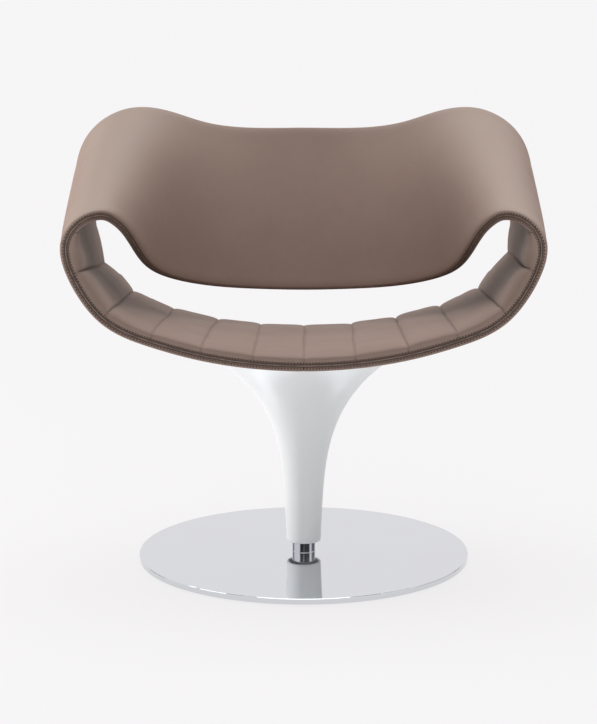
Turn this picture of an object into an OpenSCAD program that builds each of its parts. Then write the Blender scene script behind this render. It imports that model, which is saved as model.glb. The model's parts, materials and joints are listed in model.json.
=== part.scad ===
// Pedestal swivel armchair: one looped strip forms the seat, the sides, the arms and the back.
// Origin on the floor at the swivel axis, +Z up, the sitter faces -Y. Millimetres.

/* [Shell] */
// Width over the rear edge of the arms, where they are widest
overall_w = 820; // [760:5:880]
// Height of the strip's middle surface at the front of the seat
seat_z = 401; // [385:1:430]
// Rise from there to the top of the arms and back
shell_rise = 365.5; // [330:1:400]
// Reach of the seat's front edge ahead of the swivel axis
front_reach = 270; // [245:1:300]
// Reach of the back's top edge behind the swivel axis
rear_reach = 296; // [270:1:330]
// Outward swell of the arms and back between their two edges
arm_crown = 9; // [0:0.5:12]
// Thickness of the moulded core
core_t = 8; // [6:0.5:12]
// Thickness of the foam and leather on each face of the core
cover_t = 4.7; // [3.5:0.1:7]
// Gap between the layers
layer_gap = 0.3; // [0.2:0.1:1]
// Thickness of the covers where they turn over the core's edges
edge_wrap = 5; // [4:0.5:8]
// Corner cut of the covers along both edges
edge_cut = 3; // [1:0.5:4]
// Diameter of the piping cord between the covers
welt_d = 3.6; // [2:0.2:6]

/* [Seat pad] */
// Height of the pad's crests above the covers
pad_rise = 12.5; // [11:0.5:28]
// Height of the pad at its sewn seams
seam_rise = 7.5; // [4:0.5:10]
// Height of the pad at its two ends, inside the arms
end_rise = 1.5; // [0:0.5:4]
// Distance from the edge over which the pad's face rises steeply
pad_nose = 8; // [5:0.5:14]
// Distance from the edge at which the pad is nearly at its full height
pad_shoulder = 22; // [18:1:40]
// Gap between the pad and the core
pad_gap = 0.5; // [0.3:0.1:1.5]

/* [Base] */
// Diameter of the round base plate
base_d = 580; // [480:5:680]
// Thickness of the base plate
base_t = 10; // [8:0.5:16]
// Corner round of the base plate
base_edge = 1.5; // [0.5:0.5:3]
// Thickness of the pad under the base plate
floor_pad_t = 2; // [1:0.5:4]
// Distance of that pad from the base plate's rim
floor_pad_inset = 8; // [4:1:20]

/* [Column] */
// Diameter of the post under the column
post_d = 41; // [36:0.5:48]
// Length of post seen between the base plate and the column
post_seen = 19; // [12:1:30]
// Diameter of the column's foot
foot_d = 60; // [56:0.5:70]
// Diameter of the column's flare at the height of the shell's underside
flare_d = 330; // [310:5:360]
// Height of that diameter over the shell's underside on the swivel axis
flare_over = 2.5; // [0:0.5:6]
// Wall of the column
column_wall = 4; // [3:0.5:6]
// Gap between the column's rim and the shell
rim_gap = 1; // [0.8:0.1:3]
// Thickness of the ring that the column hangs by
hanger_t = 6; // [4:0.5:10]
// Distance from that ring up to the seat plate
hanger_drop = 40; // [34:1:46]
// Bore of that ring
hanger_bore_d = 120; // [110:2:130]
// Length of the ring that centres the column's foot
end_ring_l = 8; // [5:0.5:14]

/* [Swivel] */
// Height of the post's shoulder over the base plate
post_h = 50; // [44:1:60]
// Diameter of the spindle in the bushes
shaft_d = 25; // [20:0.5:28]
// Outer diameter of the swivel tube
tube_d = 44; // [42:0.5:48]
// Bore of the swivel tube
tube_bore_d = 34; // [32:0.5:36]
// Length of each bush
bush_l = 30; // [20:1:40]
// Diametral running fit of the spindle in the bushes
run_fit = 0.06; // [0.04:0.01:0.2]
// Diametral gap of a piece pressed or slipped into another
slip_fit = 0.04; // [0.02:0.01:0.1]
// Height of the upper bush's top over the base plate
upper_bush_top = 288; // [270:1:300]
// Thickness of the washer over the upper bush
washer_t = 2; // [1.5:0.5:3]
// Thickness of the circlip
circlip_t = 1.8; // [1.2:0.1:2.4]
// Depth of the circlip's groove
circlip_groove = 1.2; // [0.8:0.1:1.6]
// Width of the circlip's ring
circlip_w = 3.4; // [2.4:0.1:4]
// Number of balls in the thrust bearing
ball_n = 12; // [8:1:16]
// Diameter of a ball
ball_d = 5; // [4:0.5:6]
// Diameter of the circle that the balls run on
ball_circle_d = 32.8; // [32:0.2:34]
// Thickness of each bearing race
race_t = 3; // [2.5:0.5:4]
// Depth of the groove in each race
race_groove = 1; // [0.5:0.1:1.2]
// Outer diameter of the races
race_d = 40.4; // [40:0.2:41]
// Thickness of the cage that holds the balls
cage_t = 2; // [1.5:0.1:2.2]

/* [Fixings] */
// Width and depth of the seat plate
plate_w = 200; // [180:2:210]
// Thickness of the seat plate
plate_t = 5; // [4:0.5:8]
// Corner radius of the seat plate
plate_corner = 30; // [24:1:40]
// Gap between the seat plate and the shell
plate_gap = 0.7; // [0.6:0.1:2]
// Spacing of the four seat bolts
bolt_pitch = 140; // [130:2:144]
// Thread diameter of the seat bolts
bolt_d = 8; // [6:1:8]
// Thread diameter of the column screws
screw_d = 6; // [5:1:6]
// Radius of the circle of column screws
screw_circle_r = 75; // [72:1:78]
// Number of column screws
screw_n = 3; // [2:1:3]
// Thread diameter of the bolt in the spindle's foot
foot_bolt_d = 12; // [10:1:12]
// Length of that bolt under its head
foot_bolt_l = 32; // [26:1:40]
// Diameter of the two dowels in the spindle's foot
dowel_d = 5; // [4:0.5:6]
// Length of the dowels
dowel_l = 12; // [10:1:16]
// Thickness of the gussets
gusset_t = 5; // [4:0.5:8]
// Reach of the gussets from the swivel axis
gusset_reach = 78; // [70:1:82]
// Height of the gussets at the tube
gusset_h = 46; // [36:1:60]
// Gap at seats between separate pieces
seat_gap = 0.3; // [0.2:0.05:0.5]

/* [Hidden] */
$fn = 96;

// Overrun of cuts past the faces they open
over = layer_gap;
// Facets of the widest cylinders
saddle_fn = 720;

// Layers of the strip, measured off its middle surface
lining_n = core_t/2 + layer_gap;
half_t = lining_n + cover_t;
half_span = overall_w/2 - half_t;
welt_r = welt_d/2;
split_n = welt_r + layer_gap;
core_inset = edge_wrap + layer_gap;
pad_lining_n = lining_n + pad_gap;

// The strip's two edge lines over one half, from the middle of the seat round the arm to the
// middle of the back. Shares of the half span, of the front or rear reach, and of the rise.
front_shares = [
    [0, -1, 0], [0.209, -1, 0.012], [0.422, -0.993, 0.048], [0.625, -0.978, 0.109],
    [0.815, -0.956, 0.209], [0.938, -0.919, 0.401], [0.963, -0.867, 0.536],
    [0.918, -0.804, 0.615], [0.859, -0.748, 0.644], [0.808, -0.693, 0.639],
    [0.768, -0.626, 0.603], [0.736, -0.533, 0.551], [0.707, -0.404, 0.475],
    [0.675, -0.226, 0.383], [0.621, -0.011, 0.299], [0.517, 0.206, 0.229],
    [0.365, 0.399, 0.176], [0.185, 0.551, 0.143], [0, 0.608, 0.131]];
rear_shares = [
    [0, 0.709, -0.110], [0.197, 0.709, -0.104], [0.392, 0.709, -0.080], [0.599, 0.709, -0.022],
    [0.791, 0.709, 0.074], [0.925, 0.709, 0.236], [0.989, 0.699, 0.470],
    [1, 0.689, 0.670], [0.973, 0.682, 0.821], [0.917, 0.682, 0.915],
    [0.848, 0.689, 0.970], [0.768, 0.704, 1], [0.673, 0.730, 1],
    [0.574, 0.769, 0.973], [0.471, 0.824, 0.934], [0.364, 0.885, 0.907],
    [0.249, 0.939, 0.894], [0.125, 0.981, 0.890], [0, 1, 0.890]];
// Stations in each span of those tables, and in the whole loop
span_steps = 3;
loop_steps = 2*(len(front_shares) - 1)*span_steps;
// Rounds of the fit that puts the smooth lines through the tables' points
settle_rounds = 4;
// Places along the loop, counted in spans from the middle of the seat
crown_from = 3.5;
crown_full = 6.3;
cover_seam = 6;
pad_end = 20/3;
pad_seams = [0, 1, 2, 3, 4, 5, pad_end];
// Slack at the ends of the covers and between the inner cover and the pad, in stations
end_slack = 0.02;
pad_slack = 0.06;
// Share of its crest that the pad gains where it turns up the arms
pad_full_share = 0.3;
// Station beside each seam at which the channel has swollen, in stations
swell_step = 0.36;

function wrap(i, n) = (i % n + n) % n;
function lerp(a, b, f) = a*(1 - f) + b*f;
function unit(v) = v/norm(v);
function ease(x) = let (c = min(max(x, 0), 1)) c*c*(3 - 2*c);
function reversed(list) = [for (i = [len(list) - 1:-1:0]) list[i]];

// Edge lines: shares to real places, the other half by mirroring, and a smooth closed curve
function place(s) = [s[0]*half_span, s[1]*(s[1] < 0 ? front_reach : rear_reach), seat_z + s[2]*shell_rise];
function whole_loop(shares) = concat(
    [for (s = shares) place(s)],
    [for (i = [len(shares) - 2:-1:1]) place([-shares[i][0], shares[i][1], shares[i][2]])]);
function settled(q, goal, rounds) = rounds < 1 ? q : settled(
    [for (i = [0:len(q) - 1])
        goal[i] - (q[wrap(i - 1, len(q))] - 2*q[i] + q[wrap(i + 1, len(q))])/6],
    goal, rounds - 1);
function weights(f) = [pow(1 - f, 3), 3*pow(f, 3) - 6*f*f + 4, 3*f + 3*f*f - 3*pow(f, 3) + 1, pow(f, 3)]/6;
function slopes(f) = [-pow(1 - f, 2), 3*f*f - 4*f, 1 + 2*f - 3*f*f, f*f]/2;
function blend(q, k, w) =
    w[0]*q[wrap(k - 1, len(q))] + w[1]*q[wrap(k, len(q))]
    + w[2]*q[wrap(k + 1, len(q))] + w[3]*q[wrap(k + 2, len(q))];
function along(q, t) = blend(q, floor(t), weights(t - floor(t)));
function heading(q, t) = blend(q, floor(t), slopes(t - floor(t)));

front_line = settled(whole_loop(front_shares), whole_loop(front_shares), settle_rounds);
rear_line = settled(whole_loop(rear_shares), whole_loop(rear_shares), settle_rounds);

// Swell of the strip at a station
function swell(t) = let (n = len(front_line), w = wrap(t, n))
    arm_crown*ease((min(w, n - w) - crown_from)/(crown_full - crown_from));
// Point of the strip at a whole station; at = [share of the width, inset, height off the middle]
function station_point(k, at) = let (
        t = k/span_steps,
        a = along(front_line, t),
        b = along(rear_line, t),
        s = at[0] + at[1]/norm(b - a),
        up = unit(cross(lerp(heading(front_line, t), heading(rear_line, t), s), b - a)))
    lerp(a, b, s) + up*(at[2] - swell(t)*4*s*(1 - s));
// The same at any place between stations, straight across from one to the next
function strip_point(k, at) = let (f = k - floor(k))
    f == 0 ? station_point(k, at) : lerp(station_point(floor(k), at), station_point(floor(k) + 1, at), f);
function strip_points(k, path) = [for (at = path) strip_point(k, at)];

// Sections across the strip; side is -1 for the outer face and 1 for the inner face
function cover_face(side) = [
    [0, 0, side*split_n], [0, 0, side*(half_t - edge_cut)], [0, edge_cut, side*half_t],
    [1/4, 0, side*half_t], [1/2, 0, side*half_t], [3/4, 0, side*half_t],
    [1, -edge_cut, side*half_t], [1, 0, side*(half_t - edge_cut)], [1, 0, side*split_n]];
function cover_lining(side) = [
    [0, edge_wrap, side*split_n], [0, edge_wrap, side*lining_n],
    [1/4, 0, side*lining_n], [1/2, 0, side*lining_n], [3/4, 0, side*lining_n],
    [1, -edge_wrap, side*lining_n], [1, -edge_wrap, side*split_n]];
cover_partners = [0, 1, 1, 2, 3, 4, 5, 5, 6];
function core_face(side) = [
    [0, core_inset, side*core_t/2], [1/4, 0, side*core_t/2], [1/2, 0, side*core_t/2],
    [3/4, 0, side*core_t/2], [1, -core_inset, side*core_t/2]];
// Shares of the pad's height at the end of its nose and at its shoulder
nose_share = 0.62;
shoulder_share = 0.95;
function pad_face(h) = [
    [0, 0, split_n], [0, 0, half_t - edge_cut], [0, edge_cut, half_t],
    [0, pad_nose, half_t + nose_share*h], [0, pad_shoulder, half_t + shoulder_share*h],
    [1/2, 0, half_t + h],
    [1, -pad_shoulder, half_t + shoulder_share*h], [1, -pad_nose, half_t + nose_share*h],
    [1, -edge_cut, half_t], [1, 0, half_t - edge_cut], [1, 0, split_n]];
pad_lining = [
    [0, edge_wrap, split_n], [0, edge_wrap, pad_lining_n], [1/2, 0, pad_lining_n],
    [1, -edge_wrap, pad_lining_n], [1, -edge_wrap, split_n]];
pad_partners = [0, 1, 1, 1, 1, 2, 3, 3, 3, 3, 4];

// Height of the pad over the covers at a place k, counted in stations from the middle
function channel_swell(f) = sqrt(max(0, 1 - pow(abs(2*f - 1), 4)));
function pad_height(k) = let (
        t = abs(k)/span_steps,
        i = max([for (j = [0:len(pad_seams) - 2]) pad_seams[j] <= t ? j : 0]),
        f = (t - pad_seams[i])/(pad_seams[i + 1] - pad_seams[i]),
        seam = lerp(seam_rise, i == len(pad_seams) - 2 ? end_rise : seam_rise, f),
        crest = pad_rise*(1 + pad_full_share*ease((t - pad_seams[3])/(pad_seams[5] - pad_seams[3]))))
    seam + max(0, crest - seam)*channel_swell(f);
// Stations of one channel, crowded beside its seams
function channel_steps(a, b) = concat(
    [a, a + swell_step],
    [for (k = [ceil(a + 2*swell_step):floor(b - 2*swell_step)]) k],
    [b - swell_step]);
pad_half_steps = concat(
    [for (i = [0:len(pad_seams) - 2])
        each channel_steps(pad_seams[i]*span_steps, pad_seams[i + 1]*span_steps)],
    [pad_end*span_steps]);
pad_steps = concat([for (k = reversed(pad_half_steps)) if (k > 0) -k], pad_half_steps);

// The seat as the pedestal meets it: a shallow trough, tilted back
seat_front = along(front_line, 0);
seat_back = along(rear_line, 0);
axis_share = -seat_front[1]/(seat_back[1] - seat_front[1]);
axis_z = lerp(seat_front[2], seat_back[2], axis_share);
seat_tilt = atan((seat_front[2] - seat_back[2])/(seat_back[1] - seat_front[1]));
// Place where the trough's curve is taken, as a share of the seat's depth
trough_share = 0.75;
trough_at = lerp(along(front_line, 2), along(rear_line, 2), trough_share);
trough_rise = trough_at[2] - lerp(seat_front[2], seat_back[2], trough_share);
trough_r = (pow(trough_at[0], 2) + pow(trough_rise, 2))/(2*trough_rise);
function trough_z(x) = trough_r - sqrt(pow(trough_r, 2) - x*x);
under_z = axis_z - half_t;

// Heights up the pedestal
plate_z = floor_pad_t;
base_top = plate_z + base_t;
post_top = base_top + post_h;
ball_r = ball_d/2;
ball_play = slip_fit;
ball_z = post_top + race_t - race_groove + ball_r + ball_play;
race_upper_z = ball_z + ball_r + ball_play - race_groove;
tube_z = race_upper_z + race_t;
bush_top_z = base_top + upper_bush_top;
washer_z = bush_top_z + seat_gap;
circlip_z = washer_z + washer_t + seat_gap;
shaft_top = circlip_z + circlip_t + shaft_d/4;
foot_z = base_top + post_seen;
rim_z = under_z + flare_over;
plate_under_n = half_t + plate_gap + plate_t;
plate_under_z = axis_z - plate_under_n;
hanger_z = plate_under_z - hanger_drop - hanger_t;
end_ring_z = tube_z + seat_gap;

// Head sizes of the fixings, after the usual proportions of countersunk and hex parts
foot_head_r = foot_bolt_d;
bolt_head_r = bolt_d;
screw_head_r = screw_d;
nut_flats = 13*bolt_d/8;
nut_h = 0.8*bolt_d;
nut_r = nut_flats/sqrt(3);
spigot_r = foot_bolt_d*0.9;
spigot_h = base_t/4;
dowel_circle_r = (post_d/2 + spigot_r)/2;

// Trough-shaped cutter: everything above a surface that lies drop under the middle surface
module in_seat_frame() {
    translate([0, 0, axis_z]) rotate([-seat_tilt, 0, 0]) children();
}
module trough(drop) {
    in_seat_frame() translate([0, 0, trough_r]) rotate([90, 0, 0])
        cylinder(r = trough_r + drop, h = 2*overall_w, center = true, $fn = saddle_fn);
}

// Countersunk screw along -Z with its head's top at the origin and a hex socket
module countersunk(d, head_r, length) {
    head_h = head_r - d/2;
    difference() {
        rotate_extrude() polygon([[0, -length], [d/2, -length], [d/2, -head_h], [head_r, 0], [0, 0]]);
        translate([0, 0, -head_h*2/3]) cylinder(d = d*0.7, h = head_h, $fn = 6);
    }
}
// Clearance hole for it
module countersunk_hole(d, head_r, length) {
    translate([0, 0, -length - over]) cylinder(d = d, h = length + 2*over);
    translate([0, 0, d/2 - head_r]) cylinder(r1 = d/2, r2 = head_r, h = head_r - d/2);
    cylinder(r = head_r, h = length);
}
module ring(d, bore, h) {
    difference() {
        cylinder(d = d, h = h);
        translate([0, 0, -over]) cylinder(d = bore, h = h + 2*over);
    }
}

// Solid between a face and its lining, carried from station to station. The lining leads the way
// round each section on an outward face; turned swaps the sense of every triangle.
module wrapped(faces, linings, partners, outward = false, turned = false) {
    m = len(faces[0]);
    all = m + len(linings[0]);
    n = len(faces);
    closed = len(partners) == 0;
    order = outward ? concat([for (j = [m:all - 1]) j], [for (j = [m - 1:-1:0]) j])
        : concat([for (j = [0:m - 1]) j], [for (j = [all - 1:-1:m]) j]);
    sides = [for (i = [0:closed ? n - 1 : n - 2], j = [0:all - 1]) let (
            r = i*all, s = (i + 1)%n*all, a = order[j], b = order[(j + 1)%all])
        each turned ? [[r + a, s + b, r + b], [r + a, s + a, s + b]]
            : [[r + a, r + b, s + b], [r + a, s + b, s + a]]];
    cap = closed ? [] : [for (j = [0:m - 2]) each concat(
        [[j, j + 1, m + partners[j]]],
        partners[j + 1] == partners[j] ? [] : [[j + 1, m + partners[j + 1], m + partners[j]]])];
    first = outward ? cap : [for (f = cap) reversed(f)];
    last = [for (f = first) [for (v = reversed(f)) v + (n - 1)*all]];
    polyhedron(points = [for (i = [0:n - 1]) each concat(faces[i], linings[i])],
        faces = concat(sides, first, last), convexity = 10);
}
module cover(from, to, side, slack) {
    steps = concat([from + slack], [for (k = [ceil(from + span_steps/10):floor(to - span_steps/10)]) k],
        [to - slack]);
    wrapped([for (k = steps) strip_points(k, cover_face(side))],
        [for (k = steps) strip_points(k, cover_lining(side))], cover_partners, side < 0);
}
module welt(share, inset) {
    sides = 6;
    rows = [for (k = [0:loop_steps - 1]) strip_points(k,
        [for (j = [0:sides - 1]) [share, inset + welt_r*cos(360*j/sides), welt_r*sin(360*j/sides)]])];
    half = sides/2;
    wrapped([for (r = rows) [for (j = [0:half - 1]) r[j]]],
        [for (r = rows) [for (j = [sides - 1:-1:half]) r[j]]], [], turned = true);
}

// Base: a steel disc on a thin pad, with the spindle bolted up through its middle
module base_plate() {
    r = base_d/2;
    color("#d7dadf") difference() {
        translate([0, 0, plate_z]) rotate_extrude($fn = 4*$fn) polygon(concat(
            [[0, 0]],
            [for (a = [-90:15:0]) [r - base_edge + base_edge*cos(a), base_edge + base_edge*sin(a)]],
            [for (a = [0:15:90]) [r - base_edge + base_edge*cos(a), base_t - base_edge + base_edge*sin(a)]],
            [[0, base_t]]));
        translate([0, 0, base_top - spigot_h]) cylinder(r = spigot_r + slip_fit/2, h = base_t);
        translate([0, 0, plate_z]) mirror([0, 0, 1])
            countersunk_hole(foot_bolt_d + seat_gap, foot_head_r + seat_gap, base_t);
        dowel_places() cylinder(d = dowel_d + slip_fit, h = dowel_l + over);
    }
}
module floor_pad() {
    color("#2b2b2b") cylinder(r = base_d/2 - floor_pad_inset, h = floor_pad_t);
}
module dowel_places() {
    for (side = [-1, 1])
        translate([side*dowel_circle_r, 0, base_top - dowel_l/2]) children();
}
module spindle() {
    r = shaft_d/2;
    chamfer = shaft_d/20;
    color("#c9ccd1") difference() {
        rotate_extrude() polygon([
            [0, base_top - spigot_h + seat_gap], [spigot_r, base_top - spigot_h + seat_gap],
            [spigot_r, base_top], [post_d/2, base_top], [post_d/2, post_top], [r, post_top],
            [r, circlip_z - slip_fit], [r - circlip_groove, circlip_z - slip_fit],
            [r - circlip_groove, circlip_z + circlip_t + slip_fit], [r, circlip_z + circlip_t + slip_fit],
            [r, shaft_top - chamfer], [r - chamfer, shaft_top], [0, shaft_top]]);
        cylinder(d = foot_bolt_d + slip_fit, h = plate_z + foot_bolt_l + foot_bolt_d/2);
        dowel_places() cylinder(d = dowel_d + slip_fit, h = dowel_l + over);
    }
}
module spindle_bolt() {
    color("#55585c") translate([0, 0, plate_z + seat_gap]) mirror([0, 0, 1])
        countersunk(foot_bolt_d, foot_head_r, foot_bolt_l);
}
module dowel_pins() {
    color("#8d9094") dowel_places() cylinder(d = dowel_d, h = dowel_l);
}

// Swivel bearing: two grooved races with a ring of caged balls between them
module race(z, ball_at) {
    translate([0, 0, z]) difference() {
        ring(race_d, shaft_d + seat_gap, race_t);
        translate([0, 0, ball_at]) rotate_extrude() translate([ball_circle_d/2, 0])
            circle(r = ball_r + ball_play, $fn = $fn/2);
    }
}
module ball_places() {
    for (i = [0:ball_n - 1])
        rotate([0, 0, 360*i/ball_n]) translate([ball_circle_d/2, 0, ball_z]) children();
}
module thrust_race_lower() {
    color("#9da1a6") race(post_top, ball_z - post_top);
}
module thrust_race_upper() {
    color("#9da1a6") race(race_upper_z, ball_z - race_upper_z);
}
module bearing_balls() {
    color("#e3e5e8") ball_places() sphere(r = ball_r, $fn = $fn/2);
}
module ball_cage() {
    color("#c8a24a") difference() {
        translate([0, 0, ball_z - cage_t/2]) ring(race_d - 2*seat_gap, shaft_d + 3*seat_gap, cage_t);
        ball_places() cylinder(r = ball_r + 2*ball_play, h = 2*cage_t, center = true);
    }
}
module retaining_washer() {
    color("#9da1a6") translate([0, 0, washer_z])
        ring(tube_bore_d - 4*seat_gap, shaft_d + seat_gap, washer_t);
}
module circlip() {
    inner = shaft_d/2 - circlip_groove + slip_fit;
    color("#3c3e42") translate([0, 0, circlip_z]) difference() {
        ring(2*(inner + circlip_w), 2*inner, circlip_t);
        translate([0, -circlip_w, -over]) cube([shaft_d, 2*circlip_w, circlip_t + 2*over]);
    }
}

// Rotating carrier: tube on two bushes, with a plate curved to the seat on top
module swivel_tube() {
    color("#6f7378") difference() {
        translate([0, 0, tube_z]) ring(tube_d, tube_bore_d, axis_z - tube_z);
        trough(plate_under_n + seat_gap);
    }
}
module bush(z) {
    translate([0, 0, z]) ring(tube_bore_d - slip_fit, shaft_d + run_fit, bush_l);
}
module lower_bush() {
    color("#d9d4c4") bush(tube_z);
}
module upper_bush() {
    color("#d9d4c4") bush(bush_top_z - bush_l);
}
module tube_gussets() {
    root = tube_d/2 + seat_gap;
    tip = gusset_h/6;
    low = plate_under_z - gusset_h;
    color("#6f7378") difference() {
        for (a = [45:90:315]) rotate([0, 0, a]) rotate([90, 0, 0])
            linear_extrude(height = gusset_t, center = true) polygon([
                [root, low], [gusset_reach, plate_under_z - tip], [gusset_reach, axis_z], [root, axis_z]]);
        trough(plate_under_n + seat_gap);
    }
}
module bolt_places(z) {
    in_seat_frame() for (x = [-1, 1], y = [-1, 1])
        translate([x*bolt_pitch/2, y*bolt_pitch/2, z]) children();
}
bolt_head_z = trough_z(bolt_pitch/2 - bolt_head_r) + core_t/2 - seat_gap;
nut_top_z = trough_z(bolt_pitch/2 - nut_r) - plate_under_n - seat_gap;
bolt_l = bolt_head_z - nut_top_z + nut_h + bolt_d/4;
module screw_places() {
    for (i = [0:screw_n - 1]) rotate([0, 0, 90 + 360*i/screw_n]) translate([0, screw_circle_r, 0])
        children();
}
module screw_cuts() {
    for (i = [0:screw_n - 1])
        translate([0, 0, screw_top(i)]) rotate([0, 0, 90 + 360*i/screw_n]) translate([0, screw_circle_r, 0])
            countersunk_hole(screw_d + seat_gap, screw_head_r + seat_gap, plate_t + seat_gap);
}
// Top of a column screw, sunk so that its head clears the shell on the low side
function screw_top(i) = let (a = 90 + 360*i/screw_n, x = screw_circle_r*sin(a), y = screw_circle_r*cos(a))
    axis_z - y*tan(seat_tilt) + trough_z(x) - half_t - plate_gap - screw_d/5;
module seat_plate() {
    straight = plate_w - 2*plate_corner;
    color("#6f7378") difference() {
        intersection() {
            in_seat_frame() translate([0, 0, -2*plate_under_n]) linear_extrude(height = 2*plate_under_n) {
                square([plate_w, straight], center = true);
                square([straight, plate_w], center = true);
                for (x = [-1, 1], y = [-1, 1]) translate([x, y]*straight/2) circle(r = plate_corner);
            }
            trough(plate_under_n);
        }
        trough(half_t + plate_gap);
        cylinder(d = tube_bore_d, h = axis_z);
        bolt_places(-2*plate_under_n) cylinder(d = bolt_d + 2*seat_gap, h = 4*plate_under_n);
        screw_cuts();
    }
}
module weld_nuts() {
    color("#8d9094") bolt_places(nut_top_z - nut_h) difference() {
        cylinder(r = nut_r, h = nut_h, $fn = 6);
        translate([0, 0, -over]) cylinder(d = bolt_d + slip_fit, h = nut_h + 2*over);
    }
}
module seat_bolts() {
    color("#55585c") bolt_places(bolt_head_z) countersunk(bolt_d, bolt_head_r, bolt_l);
}

// Column: a thin flared shell that hangs from the seat plate and turns with it
taper_share = 0.11;
flare_power = 3.9;
flare_run_share = 1.09;
flare_rings = 26;
function flare_r(u) = lerp(foot_d, flare_d, taper_share*u + (1 - taper_share)*pow(u, flare_power))/2;
function flare_out(u) = [flare_r(u), lerp(foot_z, rim_z, u)];
function flare_in(u) = let (
        d = (flare_d - foot_d)/2*(taper_share + (1 - taper_share)*flare_power*pow(u, flare_power - 1)),
        side = unit([foot_z - rim_z, d]))
    flare_out(u) + column_wall*side;
function flare_r_at(z) = flare_r((z - foot_z)/(rim_z - foot_z));
module column_shell() {
    lip = column_wall/2;
    shares = [for (i = [0:flare_rings]) flare_run_share*i/flare_rings];
    color("#eef0f1") difference() {
        union() {
            rotate_extrude() polygon(concat(
                [for (a = [-90:30:0]) [foot_d/2 - lip + lip*cos(a), foot_z + lip + lip*sin(a)]],
                [for (u = shares) if (lerp(foot_z, rim_z, u) > foot_z + lip) flare_out(u)],
                [for (u = reversed(shares)) if (lerp(foot_z, rim_z, u) > foot_z + lip) flare_in(u)],
                [for (a = [180:30:270])
                    [foot_d/2 - column_wall + lip + lip*cos(a), foot_z + lip + lip*sin(a)]]));
            translate([0, 0, hanger_z])
                ring(2*flare_r_at(hanger_z) - column_wall, hanger_bore_d, hanger_t);
        }
        trough(half_t + rim_gap);
        screw_places() translate([0, 0, hanger_z - over])
            cylinder(d = screw_d + slip_fit, h = hanger_t + 2*over);
    }
}
module column_end_ring() {
    color("#2b2b2b") translate([0, 0, end_ring_z])
        ring(2*(flare_r_at(end_ring_z) - column_wall - seat_gap), tube_d + slip_fit, end_ring_l);
}
module column_spacers() {
    color("#8d9094") difference() {
        screw_places() translate([0, 0, hanger_z + hanger_t])
            ring(2.4*screw_d, screw_d + 2*seat_gap, axis_z - hanger_z);
        trough(plate_under_n + seat_gap);
    }
}
module column_screws() {
    color("#55585c") for (i = [0:screw_n - 1])
        translate([0, 0, screw_top(i)]) rotate([0, 0, 90 + 360*i/screw_n]) translate([0, screw_circle_r, 0])
            countersunk(screw_d, screw_head_r, screw_top(i) - hanger_z + screw_d/4);
}

// Shell: the moulded core, leather covers on both faces, and piping in the seam between them
module shell_core() {
    color("#3a3430") difference() {
        wrapped([for (k = [0:loop_steps - 1]) strip_points(k, core_face(-1))],
            [for (k = [0:loop_steps - 1]) strip_points(k, core_face(1))], [], turned = true);
        bolt_places(bolt_head_z) countersunk_hole(bolt_d + 2*seat_gap, bolt_head_r + seat_gap, bolt_l);
    }
}
module underside_cover() {
    color("#6d5b50") difference() {
        cover(-cover_seam*span_steps, cover_seam*span_steps, -1, end_slack);
        bolt_places(bolt_head_z - bolt_l) cylinder(d = bolt_d + 2*seat_gap, h = 2*bolt_l);
    }
}
module upper_cover() {
    color("#8c7b6e") cover(cover_seam*span_steps,
        loop_steps - cover_seam*span_steps, -1, end_slack);
}
module inner_cover() {
    color("#7a6a5f") cover(pad_end*span_steps,
        loop_steps - pad_end*span_steps, 1, pad_slack);
}
module seat_pad() {
    color("#94857a") wrapped([for (k = pad_steps) strip_points(k, pad_face(pad_height(k)))],
        [for (k = pad_steps) strip_points(k, pad_lining)], pad_partners);
}
module front_welt() {
    color("#4d3f38") welt(0, welt_r);
}
module rear_welt() {
    color("#4d3f38") welt(1, -welt_r);
}

base_plate();
floor_pad();
spindle();
spindle_bolt();
dowel_pins();
thrust_race_lower();
retaining_washer();
circlip();
ball_cage();
bearing_balls();
thrust_race_upper();
swivel_tube();
lower_bush();
upper_bush();
tube_gussets();
seat_plate();
weld_nuts();
seat_bolts();
column_shell();
column_end_ring();
column_spacers();
column_screws();
shell_core();
underside_cover();
upper_cover();
inner_cover();
seat_pad();
front_welt();
rear_welt();
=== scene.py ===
import json
import math

import bpy
import numpy as np
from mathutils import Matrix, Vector


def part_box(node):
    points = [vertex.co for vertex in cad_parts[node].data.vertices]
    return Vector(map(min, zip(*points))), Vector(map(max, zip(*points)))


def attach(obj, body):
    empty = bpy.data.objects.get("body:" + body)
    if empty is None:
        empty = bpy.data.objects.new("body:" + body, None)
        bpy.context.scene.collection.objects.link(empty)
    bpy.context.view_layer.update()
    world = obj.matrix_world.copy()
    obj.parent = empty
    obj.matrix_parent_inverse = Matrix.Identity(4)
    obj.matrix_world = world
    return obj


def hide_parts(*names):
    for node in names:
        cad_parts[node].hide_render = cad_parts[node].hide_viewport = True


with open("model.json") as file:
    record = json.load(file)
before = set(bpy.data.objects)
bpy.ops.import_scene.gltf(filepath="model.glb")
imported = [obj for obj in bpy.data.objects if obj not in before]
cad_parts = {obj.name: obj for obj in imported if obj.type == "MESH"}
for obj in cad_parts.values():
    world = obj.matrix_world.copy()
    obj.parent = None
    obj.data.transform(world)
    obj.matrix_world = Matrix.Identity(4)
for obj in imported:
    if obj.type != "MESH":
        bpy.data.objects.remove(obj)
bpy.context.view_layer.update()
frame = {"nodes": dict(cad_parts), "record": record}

MM = 0.001

# Sizes of the upholstered strip, in metres
OVERALL_W = 820 * MM
SEAT_Z = 401 * MM
SHELL_RISE = 365.5 * MM
FRONT_REACH = 270 * MM
REAR_REACH = 296 * MM
ARM_CROWN = 9 * MM
HALF_T = 9 * MM
LINING_N = 4.3 * MM
PAD_LINING_N = 4.8 * MM
LINING_INSET = 5 * MM
HALF_SPAN = OVERALL_W / 2 - HALF_T
CROWN_FROM = 3.5
CROWN_FULL = 6.3
COVER_SEAM = 6
PAD_END = 20 / 3

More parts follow.
